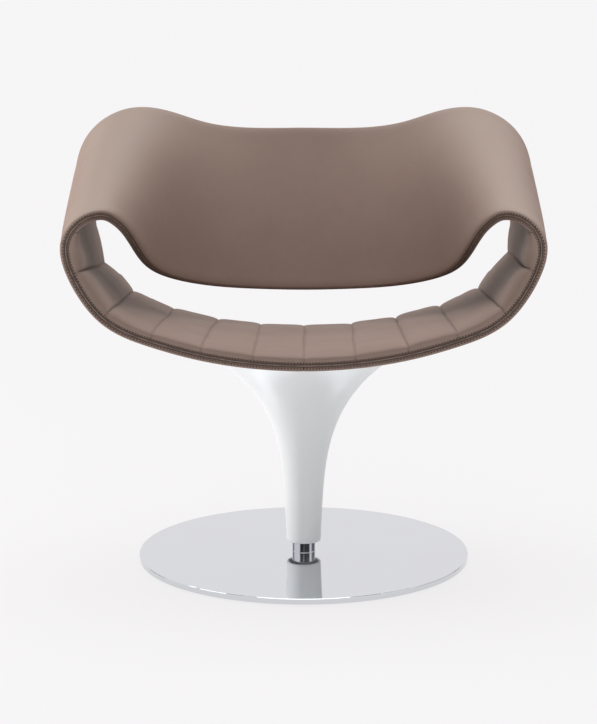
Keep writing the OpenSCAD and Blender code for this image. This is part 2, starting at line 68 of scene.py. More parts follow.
# Sizes of the seat pad
PAD_RISE = 11.5 * MM
SEAM_RISE = 7.5 * MM
END_RISE = 1.5 * MM
PAD_FULL_SHARE = 0.5
END_THIN = 9 * MM
PAD_WIDTH = 460 * MM
FRONT_NOSE = 58 * MM
FRONT_POWER = 0.45
REAR_NOSE = 24 * MM
REAR_POWER = 0.88
SEAM_WANDER = 2.2 * MM
FOLD_DEPTH = 3 * MM
# Millimetres by which each channel is fuller than the rule, from left to right as seen from the front
CHANNEL_FILL = [4, 1.5, -0.5, 0.5, 0.5, -1, -1, 1.8, 3.4, 2, 2.5, 5]
# Millimetres by which the seams right of the middle one lie off their line, in front and at the rear
SEAM_DRIFT = {1: (1, 7), 2: (2.5, 10), 3: (2, 9), 4: (5, 7), 5: (4.5, 16)}
DRIFT_POWER = 1.3
SEAM_SEED = 40
SEAM_WAVES = 5
FRONT_WANDER_SHARE = 0.35
# How far a seam opens into a soft fold towards the rear, by its number from the middle one
SEAM_FOLDS = {5: 1.0, 4: 0.45, 3: 0.2}
LEAST_FOLD = 0.1
FOLD_FROM_SHARE = 0.15
# Seams of the pad and how many points each stretch of it has
PAD_SEAMS = [0, 1, 2, 3, 4, 5, PAD_END]
CHANNEL_STEPS = 20
PAD_STEPS = 74
NOSE_STEPS = 10

# Section of a channel: power of its flat top, how much that drops towards the arms, power of its
# sides, how much that grows in a fold, and how closely its rows crowd at the seams
FLAT_POWER = 4
ROUNDER_BY = 1.4
SIDE_POWER = 0.5
FOLD_POWER = 0.3
CROWDING = 0.1
# Where the channels change on their way up the arms, in seams from the middle one
SEAM_FALL_FROM = 5
FULL_FROM = 3
FULL_TO = 5
THIN_FROM = 5.2
THIN_TO = 6.5
ROUNDER_FROM = 2
ROUNDER_TO = 5

# Cloth simulation that swells the pad
CLOTH_FRAMES = 20
CLOTH = {"quality": 6, "mass": 0.25, "tension_stiffness": 30, "compression_stiffness": 30,
         "shear_stiffness": 10, "bending_stiffness": 0.6, "use_pressure": True}
PAD_PRESSURE = 4.0
PAD_SLACK = 0.012
PAD_CAP = 3.5 * MM
HELD_ROWS = 5
FAR_REACH = 80 * MM
# Strength and half width of the painted shade along the pad's seams
SEAM_CREASE = 0.75
CREASE_HALF_SHARE = 0.017

# Seam along both edges: piping in a groove between two rows of stitches
WELT_R = 1.3 * MM
WELT_INSET = 1.8 * MM
LIP_R = 1.1 * MM
GROOVE_HALF = 2.1 * MM
ROW_N = 4.9 * MM
ROW_DEPTH = 0.5 * MM
BAND_TOP = 5.8 * MM
CORNER_R = 3.2 * MM
STITCH_PITCH = 5.1 * MM
STITCH_LENGTH = 3.2 * MM
THREAD_D = 1.3 * MM
CHANNEL_PITCH = 3.8 * MM
CHANNEL_STITCH = 2.7 * MM
LIP_SET = 0.3 * MM
BAND_START = LINING_INSET - 0.4 * MM
GROOVE_SHADE = 1.6 * MM
# Millimetres off a row of stitches, and the share of the dent's depth there
DENT_SHARES = [(-0.9, 0), (-0.55, 0.25), (-0.2, 0.9), (0, 1), (0.2, 0.9), (0.55, 0.25), (0.9, 0)]
# Millimetres in from the edge, and by which the face puffs up there
COVER_PUFF = [(5.5, 0.35), (9, 0.6), (14, 0.65), (20, 0.45), (29, 0.15), (42, 0)]
FACE_STEPS = 14

# Ends of the covers, which roll in at their seams, and the seam in the middle of the underside
END_ROLL = 2.2 * MM
END_GAP = 0.15 * MM
VALLEY_HALF = 0.9 * MM
VALLEY_DEPTH = 0.9 * MM
VALLEY_CLEAR = 3 * MM
# Millimetres from an end, and off the middle seam, at which the covers have extra points
ROLL_STATIONS = [0, 0.3, 0.8, 1.5, 2.3, 3.5]
VALLEY_STATIONS = [-2.2, -1.4, -0.8, -0.35, 0, 0.35, 0.8, 1.4, 2.2]

# Post and column
BEAD_R = 0.6 * MM
BEAD_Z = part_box("base_plate")[1][2] + 0.3 * MM
FOOT_D = 60 * MM
FLARE_D = 330 * MM
FOOT_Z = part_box("column_shell")[0][2]
FLARE_OVER = 2.5 * MM
COLUMN_WALL = 4 * MM
RIM_GAP = 1 * MM
TAPER_SHARE = 0.11
FLARE_POWER = 3.9
FLARE_RUN_SHARE = 1.09
HANGER_T = 6 * MM
HANGER_DROP = 40 * MM
HANGER_BORE_R = 60 * MM
PLATE_UNDER_N = HALF_T + 5.7 * MM
# Place along the strip and share of its width at which the trough's roundness is taken
TROUGH_T = 2.0
TROUGH_SHARE = 0.75
# Points round and along the column and the bead, and rounds of the search for the column's rim
COLUMN_SIDES = 192
FLARE_STEPS = 70
LIP_STEPS = 12
MEETING_ROUNDS = 40
BEAD_SIDES = 128
BEAD_STEPS = 12

# Edge lines of half the strip as shares of the half span, of the front or rear reach, and of the
# rise, from the middle of the seat round the arm to the middle of the back
FRONT_SHARES = [
    (0, -1, 0), (0.209, -1, 0.012), (0.422, -0.993, 0.048), (0.625, -0.978, 0.109),
    (0.815, -0.956, 0.209), (0.938, -0.919, 0.401), (0.963, -0.867, 0.536),
    (0.918, -0.804, 0.615), (0.859, -0.748, 0.644), (0.808, -0.693, 0.639),
    (0.768, -0.626, 0.603), (0.736, -0.533, 0.551), (0.707, -0.404, 0.475),
    (0.675, -0.226, 0.383), (0.621, -0.011, 0.299), (0.517, 0.206, 0.229),
    (0.365, 0.399, 0.176), (0.185, 0.551, 0.143), (0, 0.608, 0.131)]
REAR_SHARES = [
    (0, 0.709, -0.110), (0.197, 0.709, -0.104), (0.392, 0.709, -0.080), (0.599, 0.709, -0.022),
    (0.791, 0.709, 0.074), (0.925, 0.709, 0.236), (0.989, 0.699, 0.470),
    (1, 0.689, 0.670), (0.973, 0.682, 0.821), (0.917, 0.682, 0.915),
    (0.848, 0.689, 0.970), (0.768, 0.704, 1), (0.673, 0.730, 1),
    (0.574, 0.769, 0.973), (0.471, 0.824, 0.934), (0.364, 0.885, 0.907),
    (0.249, 0.939, 0.894), (0.125, 0.981, 0.890), (0, 1, 0.890)]
SETTLE_ROUNDS = 4
SPANS = 2 * (len(FRONT_SHARES) - 1)
STEPS_A_SPAN = 14
FINE_STEPS = 40


# Edge lines of the strip and the surface between them
def settled_line(shares):
    """Control points of a smooth closed line that runs close to the places given for one half."""
    half = [(x * HALF_SPAN, y * (FRONT_REACH if y < 0 else REAR_REACH), SEAT_Z + z * SHELL_RISE)
            for x, y, z in shares]
    goal = np.array(half + [(-x, y, z) for x, y, z in half[-2:0:-1]])
    line = goal
    for _ in range(SETTLE_ROUNDS):
        line = goal - (np.roll(line, 1, 0) - 2 * line + np.roll(line, -1, 0)) / 6
    return line


FRONT_LINE = settled_line(FRONT_SHARES)
REAR_LINE = settled_line(REAR_SHARES)


def blended(line, t, weights):
    """Sum of the four control points nearest to each place t on a closed line, as weighed."""
    whole = np.floor(t).astype(int)
    f = t - whole
    return sum(w[..., None] * line[(whole + i - 1) % len(line)] for i, w in enumerate(weights(f)))


def along(line, t):
    """Places on a closed line."""
    return blended(line, t, lambda f: (
        (1 - f) ** 3 / 6, (3 * f ** 3 - 6 * f * f + 4) / 6,
        (1 + 3 * f + 3 * f * f - 3 * f ** 3) / 6, f ** 3 / 6))


def heading(line, t):
    """Way in which a closed line runs at each place."""
    return blended(line, t, lambda f: (
        -(1 - f) ** 2 / 2, (3 * f * f - 4 * f) / 2, (1 + 2 * f - 3 * f * f) / 2, f * f / 2))


def unit(v):
    return v / np.linalg.norm(v, axis=-1, keepdims=True)


def ease(x):
    x = np.clip(x, 0, 1)
    return x * x * (3 - 2 * x)


def swell(t):
    """How far the middle of the strip's width bows outwards: not at all under the sitter."""
    from_middle = np.minimum(np.mod(t, SPANS), SPANS - np.mod(t, SPANS))
    return ARM_CROWN * ease((from_middle - CROWN_FROM) / (CROWN_FULL - CROWN_FROM))


def strip_point(t, share, inset, n):
    """Places on the strip: spans along it, share of its width, inset and height off its middle."""
    t, share, inset, n = np.broadcast_arrays(*(np.asarray(v, float) for v in (t, share, inset, n)))
    a, b = along(FRONT_LINE, t), along(REAR_LINE, t)
    across = b - a
    s = share + inset / np.linalg.norm(across, axis=-1)
    run = heading(FRONT_LINE, t) * (1 - s)[..., None] + heading(REAR_LINE, t) * s[..., None]
    lift = n - swell(t) * 4 * s * (1 - s)
    return a + across * s[..., None] + unit(np.cross(run, across)) * lift[..., None]


def run_along(points):
    """Length that a line of points has run by each of them."""
    return np.concatenate([[0], np.cumsum(np.linalg.norm(np.diff(points, axis=0), axis=1))])


def edge_run(line):
    """Spans along an edge line and the length that it has run by then."""
    t = np.linspace(0, SPANS, SPANS * FINE_STEPS + 1)
    return t, run_along(along(line, t))


def stitch_phase(line):
    """Stitches up to a place along an edge, the place of a stitch, and their number round the loop."""
    t, run = edge_run(line)
    count = round(run[-1] / STITCH_PITCH)
    phase = run / run[-1] * count
    return (lambda at: np.interp(np.mod(at, SPANS), t, phase)), (lambda p: np.interp(p, phase, t)), count


FRONT_PHASE, FRONT_AT, FRONT_COUNT = stitch_phase(FRONT_LINE)
REAR_PHASE, REAR_AT, REAR_COUNT = stitch_phase(REAR_LINE)
SPAN_LENGTH = (edge_run(FRONT_LINE)[1][-1] + edge_run(REAR_LINE)[1][-1]) / 2 / SPANS


# Sections across the strip
def arc(centre, radius, start, end, steps):
    """Points of an arc from start to end, in degrees."""
    a = np.radians(np.linspace(start, end, steps + 1))
    return [(centre[0] + radius * math.cos(x), centre[1] + radius * math.sin(x)) for x in a]


def band():
    """Inset and height from the groove beside the piping up past the row of stitches."""
    lip = arc((LIP_R + LIP_SET, GROOVE_HALF + LIP_R), LIP_R, -90, -180, 4)
    row = [(ROW_DEPTH * deep, ROW_N + MM * off) for off, deep in DENT_SHARES]
    return [(BAND_START, GROOVE_HALF)] + lip + row


BAND = band()
ROW_AT = [n for _, n in BAND].index(ROW_N)
ROW_REACH = float(run_along(BAND)[ROW_AT])


def cover_edge():
    """The band, the rolled corner and the face's slight puff behind it."""
    corner = arc((CORNER_R, BAND_TOP), CORNER_R, 180, 90, 6)
    return BAND + corner + [(i * MM, HALF_T + p * MM) for i, p in COVER_PUFF]


def section(edge, steps):
    """Both edges and the face between: share of the width, inset, height and reach from the groove."""
    edge = np.array(edge)
    reach = run_along(edge)
    share = np.linspace(0, 1, steps + 1)[1:-1]
    last = edge[-1, 0]
    middle = np.stack([share, (1 - 2 * share) * last, np.full(len(share), edge[-1, 1]),
                       np.full(len(share), reach[-1])], 1)
    front = np.column_stack([np.zeros(len(edge)), edge, reach])
    rear = np.column_stack([np.ones(len(edge)), -edge[:, 0], edge[:, 1], reach])[::-1]
    return np.concatenate([front, middle, rear])


def lining(n, steps):
    """Underside of a leather piece at height n, in the same four columns as a section."""
    share = np.linspace(1, 0, steps + 1)[1:-1]
    corners = [(1, -LINING_INSET, GROOVE_HALF, 0), (1, -LINING_INSET, n, 0)]
    middle = [(s, (1 - 2 * s) * LINING_INSET, n, 0) for s in share]
    return np.array(corners + middle + [(0, LINING_INSET, n, 0), (0, LINING_INSET, GROOVE_HALF, 0)])


# Meshes
def mesh_object(name, points, faces, values=None):
    """Smooth mesh with values stored on its points for the finishes to read."""
    mesh = bpy.data.meshes.new(name)
    mesh.from_pydata(points.reshape(-1, 3).tolist(), [], faces)
    for key, value in (values or {}).items():
        mesh.attributes.new(key, "FLOAT", "POINT").data.foreach_set(
            "value", np.ascontiguousarray(value, np.float32).reshape(-1))
    mesh.shade_smooth()
    mesh.validate()
    obj = bpy.data.objects.new(name, mesh)
    bpy.context.scene.collection.objects.link(obj)
    return obj


def ring_faces(rows, size, closed):
    """Quads between closed rings of points, with a cap on each open end, facing outwards or inwards."""
    i = np.arange(rows if closed else rows - 1)[:, None] * size
    j = np.arange(size)[None, :]
    after, beside = (i + size) % (rows * size), (j + 1) % size
    quads = np.stack([i + j, i + beside, after + beside, after + j], -1).reshape(-1, 4).tolist()
    if not closed:
        quads.append(list(range(size))[::-1])
        quads.append([(rows - 1) * size + k for k in range(size)])
    return quads


def volume(points, faces):
    """Six times the volume that the faces enclose: negative where they face inwards."""
    total = 0.0
    for face in faces:
        p = points[face]
        total += float(np.einsum("ij,ij->", np.cross(p[1:-1], p[2:]), np.broadcast_to(p[0], p[2:].shape)))
    return total


def shell(name, rings, closed, values=None):
    """Closed solid skin over rings of points."""
    rows, size = rings.shape[:2]
    faces = ring_faces(rows, size, closed)
    flat = rings.reshape(-1, 3)
    if volume(flat, faces) < 0:
        faces = [f[::-1] for f in faces]
    return mesh_object(name, flat, faces, values)


def stations(start, end):
    """Places along the strip from one end to the other, closer together where the ends roll in."""
    count = round((end - start) * STEPS_A_SPAN)
    roll = np.array(ROLL_STATIONS) * MM / SPAN_LENGTH
    inner = np.linspace(start, end, count + 1)[1:-1]
    return np.concatenate([start + roll, inner, (end - roll)[::-1]])


def end_drop(t, start, end):
    """Depth by which the leather has rolled in, this near to either end of a piece."""
    d = np.minimum(t - start, end - t) * SPAN_LENGTH
    d = np.clip(END_ROLL - d, 0, END_ROLL)
    return END_ROLL - np.sqrt(END_ROLL ** 2 - d ** 2)


def strip_values(t, share, reach, crease):
    """What the leather's finish reads: the count of stitches, the reach from the groove and creases, where it
    paints shade.
    """
    phase = np.where(share < 0.5, FRONT_PHASE(t), REAR_PHASE(t))
    return {"stitch": phase, "reach": np.broadcast_to(reach, t.shape), "crease": crease}


def cover(name, start, end, side, middle_seam):
    """One leather cover from start to end, on the outer (-1) or inner (1) face of the core."""
    face = section(cover_edge(), FACE_STEPS)
    whole = np.concatenate([face, lining(LINING_N, FACE_STEPS)])
    t = stations(start, end)
    if middle_seam:
        near = np.array(VALLEY_STATIONS) * MM / SPAN_LENGTH
        t = np.sort(np.concatenate([t[abs(t) > VALLEY_CLEAR / SPAN_LENGTH], near]))
    t = t[:, None] + np.zeros(len(whole))
    drop = end_drop(t, start, end)
    # Creases at the rolled ends, in the middle seam's valley and in the piping's groove: painted shade in the
    # finish
    crease = drop / END_ROLL
    if middle_seam:
        valley = np.exp(-(t * SPAN_LENGTH / VALLEY_HALF) ** 2)
        drop = drop + VALLEY_DEPTH * valley
        crease = np.maximum(crease, valley)
    on_face = np.arange(len(whole)) < len(face)
    ease_in = np.clip((whole[:, 2] - GROOVE_HALF) / (HALF_T - GROOVE_HALF), 0, 1) * on_face
    n = whole[:, 2] - drop * ease_in
    groove = np.clip(1 - whole[:, 3] / GROOVE_SHADE, 0, 1) * on_face
    crease = np.maximum(crease * on_face, groove)
    rings = strip_point(t, whole[:, 0], whole[:, 1], side * n)
    return shell(name, rings, False, strip_values(t, whole[:, 0], whole[:, 3], crease))


# Seat pad: channels between sewn seams, swollen by a cloth simulation
def seam_places():
    """Both ends of the pad and all seams between them, in spans from the middle one."""
    return [-s for s in PAD_SEAMS[:0:-1]] + PAD_SEAMS


def seam_wander(index, s):
    """A sewn seam's wander off its line on the way from the front edge to the rear, in spans."""
    rng = np.random.default_rng(SEAM_SEED + index)
    total = sum(rng.uniform(-1, 1) * np.sin(math.pi * k * s + rng.uniform(0, math.pi) * (k > 2)) / k
                for k in range(1, SEAM_WAVES + 1))
    s = np.clip(s, 0, 1)
    wave = SEAM_WANDER * total * np.sin(math.pi * s) ** 0.5
    wave = wave * (FRONT_WANDER_SHARE + (1 - FRONT_WANDER_SHARE) * s)
    front, rear = SEAM_DRIFT.get(index - len(PAD_SEAMS) + 1, (0, 0))
    return (wave + (front + (rear - front) * s ** DRIFT_POWER) * MM) / SPAN_LENGTH


def channel_height(a, b, x, s, extra=0.0):
    """Height of the pad over the covers, x of the way from seam a to seam b and s of the way back."""
    far = abs(a * (1 - x) + b * x)
    fall = max(0.0, (far - SEAM_FALL_FROM) / (PAD_END - SEAM_FALL_FROM))
    seam = SEAM_RISE + (END_RISE - SEAM_RISE) * fall
    fuller = 1 + PAD_FULL_SHARE * ease((far - FULL_FROM) / (FULL_TO - FULL_FROM))
    crest = PAD_RISE * fuller + extra * MM - END_THIN * ease((far - THIN_FROM) / (THIN_TO - THIN_FROM))
    nearest = round(abs(a if x < 0.5 else b))
    fold = SEAM_FOLDS.get(nearest, LEAST_FOLD) * ease((s - FOLD_FROM_SHARE) / (1 - FOLD_FROM_SHARE))
    flatness = FLAT_POWER - ROUNDER_BY * ease((far - ROUNDER_FROM) / (ROUNDER_TO - ROUNDER_FROM)) - fold
    swollen = np.maximum(0, 1 - abs(2 * x - 1) ** flatness) ** (SIDE_POWER + FOLD_POWER * fold)
    return seam - FOLD_DEPTH * fold * (seam > FOLD_DEPTH) + np.maximum(0, crest - seam) * swollen


def pad_rows():
    """Each row across the pad: its seams, the share between them, and its place along each seam's way."""
    places = seam_places()
    f = np.linspace(0, 1, CHANNEL_STEPS + 1)
    f = f - CROWDING * np.sin(2 * math.pi * f)
    return [(i, a, b, x) for i, (a, b) in enumerate(zip(places[:-1], places[1:]))
            for x in (f if b == places[-1] else f[:-1])]


def nose_inset(angle, main):
    """Inset of the pad's face from the edges: round the front nose, across, and round the rear nose."""
    turn = 1 - np.cos(angle)
    across = FRONT_NOSE - main * (FRONT_NOSE + REAR_NOSE)
    return np.concatenate([FRONT_NOSE * turn, across, -REAR_NOSE * turn[::-1]])


def nose_rise(angle, count):
    """Share of the pad's height that goes with each inset: round both noses, and whole across."""
    rear = np.sin(angle[::-1]) ** REAR_POWER
    return np.concatenate([np.sin(angle) ** FRONT_POWER, np.ones(count), rear])


def pad_rings():
    """Rings of points round the pad from one end to the other, and what is known of each point."""
    edge = np.array(BAND)
    places = seam_places()
    angle = np.radians(np.linspace(0, 90, NOSE_STEPS + 1))
    main = np.linspace(0, 1, PAD_STEPS + 1)[1:-1]
    ends = len(edge) + len(angle)
    share = np.concatenate([np.zeros(ends), main, np.ones(ends)])
    inset = np.concatenate([edge[:, 0], nose_inset(angle, main), -edge[::-1, 0]])
    s = share + inset / PAD_WIDTH
    rise = np.concatenate([np.zeros(len(edge)), nose_rise(angle, len(main)), np.zeros(len(edge))])
    top = np.full(len(angle) + len(main) + len(angle), BAND_TOP)
    edge_n = np.concatenate([edge[:, 1], top, edge[::-1, 1]])
    back = lining(PAD_LINING_N, FACE_STEPS)
    t, n, middle, nearness, held = [], [], [], [], []
    for i, a, b, x in pad_rows():
        at_a = a + (seam_wander(i, s) if i else 0)
        at_b = b + (seam_wander(i + 1, s) if i + 2 < len(places) else 0)
        t.append(at_a * (1 - x) + at_b * x + 0 * s)
        n.append(edge_n + rise * (HALF_T - BAND_TOP + channel_height(a, b, x, s, CHANNEL_FILL[i])))
        middle.append(a * (1 - x) + b * x)
        nearness.append(min(x, 1 - x))
        held.append(x in (0.0, 1.0))
    t, n, middle = np.array(t), np.array(n), np.array(middle)[:, None]
    drop = end_drop(t, places[0], places[-1])
    weight = np.clip((n - GROOVE_HALF) / (HALF_T - GROOVE_HALF), 0, 1)
    face = strip_point(t, share, inset, n - drop * weight)
    under = strip_point(middle, back[:, 0], back[:, 1], back[:, 2])
    t = np.concatenate([t, middle + 0 * under[..., 0]], 1)
    return {"rings": np.concatenate([face, under], 1), "t": t,
            "share": np.concatenate([share, back[:, 0]]), "band": len(edge), "face": len(share),
            "near": np.array(nearness), "held": np.array(held)}


def swell_cloth(obj, held, pressure, slack, cap):
    """Cloth simulation of the pad: held points stay, the rest swell by up to cap."""
    group = obj.vertex_groups.new(name="held")
    for weight in np.unique(held):
        group.add(np.flatnonzero(held == weight).tolist(), float(weight), "REPLACE")
    cloth = obj.modifiers.new("padding", "CLOTH")
    cloth.settings.vertex_group_mass = group.name
    for name, value in CLOTH.items():
        setattr(cloth.settings, name, value)
    cloth.settings.uniform_pressure_force = pressure
    cloth.settings.shrink_min = -slack
    cloth.settings.effector_weights.gravity = 0
    cloth.collision_settings.use_collision = False
    cloth.point_cache.frame_start = 1
    cloth.point_cache.frame_end = CLOTH_FRAMES
    rest = read_points(obj.data)
    for number in range(1, CLOTH_FRAMES + 1):
        bpy.context.scene.frame_set(number)
    swollen = read_points(obj.evaluated_get(bpy.context.evaluated_depsgraph_get()).data)
    obj.modifiers.remove(cloth)
    obj.vertex_groups.clear()
    bpy.context.scene.frame_set(1)
    move = swollen - rest
    size = np.linalg.norm(move, axis=1, keepdims=True)
    move *= cap * np.tanh(size / cap) / np.maximum(size, 1e-9)
    obj.data.vertices.foreach_set("co", (rest + move).reshape(-1))
    obj.data.update()


def read_points(mesh):
    points = np.zeros(len(mesh.vertices) * 3)
    mesh.vertices.foreach_get("co", points)
    return points.reshape(-1, 3)


def pad_reach(pad, size):
    """Reach from the groove round a ring of the pad: counted on its bands, and far away between them."""
    reach = run_along(BAND)
    face = np.full(pad["face"], FAR_REACH)
    face[:len(reach)] = reach
    face[-len(reach):] = reach[::-1]
    return np.concatenate([face, np.zeros(size - pad["face"])])


def held_points(pad, on_top):
    """Hold on each point: full on seams, ends, bands and underside, and fading away from the bands."""
    held = np.ones(pad["t"].shape)
    held[:, on_top] = 0
    held[pad["held"], :] = 1
    held[:2] = 1
    held[-2:] = 1
    first, last = pad["band"], pad["face"] - pad["band"] - 1
    for k in range(HELD_ROWS):
        held[:, [first + k, last - k]] = np.maximum(held[:, [first + k, last - k]], 1 - k / HELD_ROWS)
    return held.reshape(-1)


def seat_pad():
    """The pad's leather, with creases along its seams and grooves that the finish paints darker, swollen by a
    cloth simulation.
    """
    pad = pad_rings()
    size = pad["t"].shape[1]
    reach = pad_reach(pad, size)
    number = np.arange(size)
    on_top = (number >= pad["band"]) & (number < pad["face"] - pad["band"])
    # Painted shade along the seams and in the piping's groove, carried as creases
    near_seam = SEAM_CREASE * np.exp(-(pad["near"] / CREASE_HALF_SHARE) ** 2)[:, None]
    groove = np.clip(1 - reach / GROOVE_SHADE, 0, 1) * (number < pad["face"])
    crease = np.maximum(near_seam * on_top, groove[None, :])
    values = strip_values(pad["t"], pad["share"], reach, crease)
    obj = shell("seat_pad_leather", pad["rings"], False, values)
    swell_cloth(obj, held_points(pad, on_top), PAD_PRESSURE, PAD_SLACK, PAD_CAP)
    return obj


# Column: the flare's rim follows the trough of the seat's underside
def seat_trough():
    """Height of the strip at the swivel axis, its tilt there, and the radius of its trough."""
    front, back = along(FRONT_LINE, np.zeros(1))[0], along(REAR_LINE, np.zeros(1))[0]
    share = -front[1] / (back[1] - front[1])
    tilt = math.atan((front[2] - back[2]) / (back[1] - front[1]))
    place = np.full(1, TROUGH_T)
    a, b = along(FRONT_LINE, place)[0], along(REAR_LINE, place)[0]
    at = a + (b - a) * TROUGH_SHARE
    rise = at[2] - (front[2] + (back[2] - front[2]) * TROUGH_SHARE)
    return front[2] + (back[2] - front[2]) * share, tilt, (at[0] ** 2 + rise ** 2) / (2 * rise)


AXIS_Z, SEAT_TILT, TROUGH_R = seat_trough()
RIM_Z = AXIS_Z - HALF_T + FLARE_OVER


def under_trough(points, drop):
    """How far points lie under the trough-shaped surface at a drop below the strip's middle."""
    z = points[..., 1] * math.sin(SEAT_TILT) + (points[..., 2] - AXIS_Z) * math.cos(SEAT_TILT)
    return np.hypot(points[..., 0], z - TROUGH_R) - TROUGH_R - drop


def flare(u, inner):
    """Radius and height of the flare's outer or inner wall at a share u of its height."""
    r = (FOOT_D + (FLARE_D - FOOT_D) * (TAPER_SHARE * u + (1 - TAPER_SHARE) * u ** FLARE_POWER)) / 2
    z = FOOT_Z + (RIM_Z - FOOT_Z) * u
    if inner:
        slope = (FLARE_D - FOOT_D) / 2 * (
            TAPER_SHARE + (1 - TAPER_SHARE) * FLARE_POWER * u ** (FLARE_POWER - 1))
        length = np.hypot(FOOT_Z - RIM_Z, slope)
        r = r + COLUMN_WALL * (FOOT_Z - RIM_Z) / length
        z = z + COLUMN_WALL * slope / length
    return r, z


def full_turn(sides):
    return np.linspace(0, 2 * math.pi, sides + 1)[:-1]


def turned_point(r, z, angle):
    """Places at a radius and height, turned round the swivel axis."""
    return np.stack([r * np.cos(angle), r * np.sin(angle), z + 0 * r], -1)


def flare_end(angle, inner):
    """Share of the flare's height at which its wall meets the trough, for each angle."""
    low, high = np.full(angle.shape, 0.5), np.full(angle.shape, FLARE_RUN_SHARE)
    for _ in range(MEETING_ROUNDS):
        u = (low + high) / 2
        below = under_trough(turned_point(*flare(u, inner), angle), HALF_T + RIM_GAP) > 0
        low, high = np.where(below, u, low), np.where(below, high, u)
    return low


def column_hanger(angle):
    """Ring inside the flare by which the column hangs."""
    low = AXIS_Z - PLATE_UNDER_N - HANGER_DROP - HANGER_T
    high = low + HANGER_T
    wall_r = float(flare(np.array((low - FOOT_Z) / (RIM_Z - FOOT_Z)), False)[0]) - COLUMN_WALL / 2
    corners = [(HANGER_BORE_R, low), (wall_r, low), (wall_r, high), (HANGER_BORE_R, high)]
    ring = np.concatenate([turned_point(np.full(angle.shape, r), z, angle) for r, z in corners], 1)
    return shell("column_hanger", ring, True)


def column_moulding():
    """Flared wall with a rounded foot, closed where it meets the seat's underside, and its hanger."""
    angle = full_turn(COLUMN_SIDES)[:, None]
    lip = COLUMN_WALL / 2
    start = lip / (RIM_Z - FOOT_Z)
    up = np.linspace(0, 1, FLARE_STEPS + 1)[None, :]
    outer_end, inner_end = flare_end(angle, False), flare_end(angle, True)
    outer = turned_point(*flare(start + (outer_end - start) * up, False), angle)
    inner = turned_point(*flare(start + (inner_end - start) * up[:, ::-2], True), angle)
    turn = np.radians(np.linspace(180, 360, LIP_STEPS + 1))[None, 1:-1]
    foot_r = FOOT_D / 2 - lip + lip * np.cos(turn)
    foot = turned_point(foot_r + 0 * angle, FOOT_Z + lip + lip * np.sin(turn) + 0 * angle, angle)
    column = shell("column_moulding", np.concatenate([outer, inner, foot], 1), True)
    return joined(column, column_hanger(angle))


def post_bead():
    """Fine bead where the post stands on the plate."""
    (left, _, _), (right, _, _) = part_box("spindle")
    angle, turn = full_turn(BEAD_SIDES)[:, None], full_turn(BEAD_STEPS)[None, :]
    r = (right - left) / 2 + BEAD_R * np.cos(turn) + 0 * angle
    return shell("post_bead", turned_point(r, BEAD_Z + BEAD_R * np.sin(turn) + 0 * angle, angle), True)


def joined(first, second):
    """The first piece with the second taken into it."""
    with bpy.context.temp_override(active_object=first, selected_editable_objects=[first, second]):
        bpy.ops.object.join()
    return first


# Node trees
class Tree:
    """A node tree with one way to add a node."""

    def __init__(self, tree):
        self.tree = tree
        tree.nodes.clear()

    @staticmethod
    def pick(sockets, key):
        if isinstance(key, int):
            return sockets[key]
        return next(s for s in sockets if s.identifier == key or (s.name == key and s.enabled))

    def add(self, kind, settings=None, values=None, out=0):
        node = self.tree.nodes.new(kind)
        for name, value in (settings or {}).items():
            setattr(node, name, value)
        for key, value in (values or {}).items():
            socket = self.pick(node.inputs, key)
            if isinstance(value, Field):
                self.tree.links.new(value.socket, socket)
            else:
                socket.default_value = value
        return Field(self, self.pick(node.outputs, out)) if node.outputs else node

    def maths(self, operation, *values):
        return self.add("ShaderNodeMath", {"operation": operation}, dict(enumerate(values)))

    def fade(self, value, low, high, at_low=0.0, at_high=1.0):
        """Smooth step from at_low to at_high as value goes from low to high."""
        ends = {"From Min": low, "From Max": high, "To Min": at_low, "To Max": at_high}
        return self.add("ShaderNodeMapRange", {"interpolation_type": "SMOOTHSTEP"},
                        {"Value": value, **ends}, "Result")

    def mix(self, factor, a, b):
        return self.add("ShaderNodeMix", {"data_type": "RGBA"},
                        {"Factor_Float": factor, "A_Color": a, "B_Color": b}, "Result_Color")

    def noise(self, place, scale, detail, rough=0.5):
        return self.add("ShaderNodeTexNoise", {}, {
            "Vector": place, "Scale": scale, "Detail": detail, "Roughness": rough}, "Fac")

    def attribute(self, name):
        return self.add("ShaderNodeAttribute", {"attribute_name": name}, {}, "Fac")

    def place(self):
        return self.add("ShaderNodeTexCoord", {}, {}, "Object")

    def upward(self, low, high):
        """How much the surface faces up, from nothing at low to all at high."""
        normal = self.add("ShaderNodeTexCoord", {}, {}, "Normal")
        return self.fade(self.add("ShaderNodeSeparateXYZ", {}, {"Vector": normal}, "Z"), low, high)

    def bump(self, height, distance, strength, normal=None):
        values = {"Height": height, "Distance": distance, "Strength": strength}
        if normal is not None:
            values["Normal"] = normal
        return self.add("ShaderNodeBump", {}, values, "Normal")

    def surface(self, values):
        shader = self.add("ShaderNodeBsdfPrincipled", {}, values, "BSDF")
        self.add("ShaderNodeOutputMaterial", {}, {"Surface": shader})


class Field:
    """A node's output that takes part in sums."""

    def __init__(self, tree, socket):
        self.tree, self.socket = tree, socket

    def __add__(self, other):
        return self.tree.maths("ADD", self, other)

    def __sub__(self, other):
        return self.tree.maths("SUBTRACT", self, other)

    def __rsub__(self, other):
        return self.tree.maths("SUBTRACT", other, self)

    def __mul__(self, other):
        return self.tree.maths("MULTIPLY", self, other)

    __radd__ = __add__
    __rmul__ = __mul__


def new_material(name):
    material = bpy.data.materials.new(name)
    material.use_nodes = True
    return material, Tree(material.node_tree)


def shade(colour, by):
    return tuple(c * by for c in colour[:3]) + (1.0,)


def painted_sheen_tone(colour):
    """Painted sheen: paler and greyer, as leather looks where the overhead light glances off it."""
    r, g, b, _ = shade(colour, 1.0)
    return r * 1.12, g * 1.22, b * 1.25, 1.0


def painted_shade_tone(colour, by):
    """Painted shade: darker and warmer, as leather looks where light reaches it only off more leather."""
    r, g, b, _ = shade(colour, by)
    return r * 1.08, g * 0.96, b * 0.92, 1.0
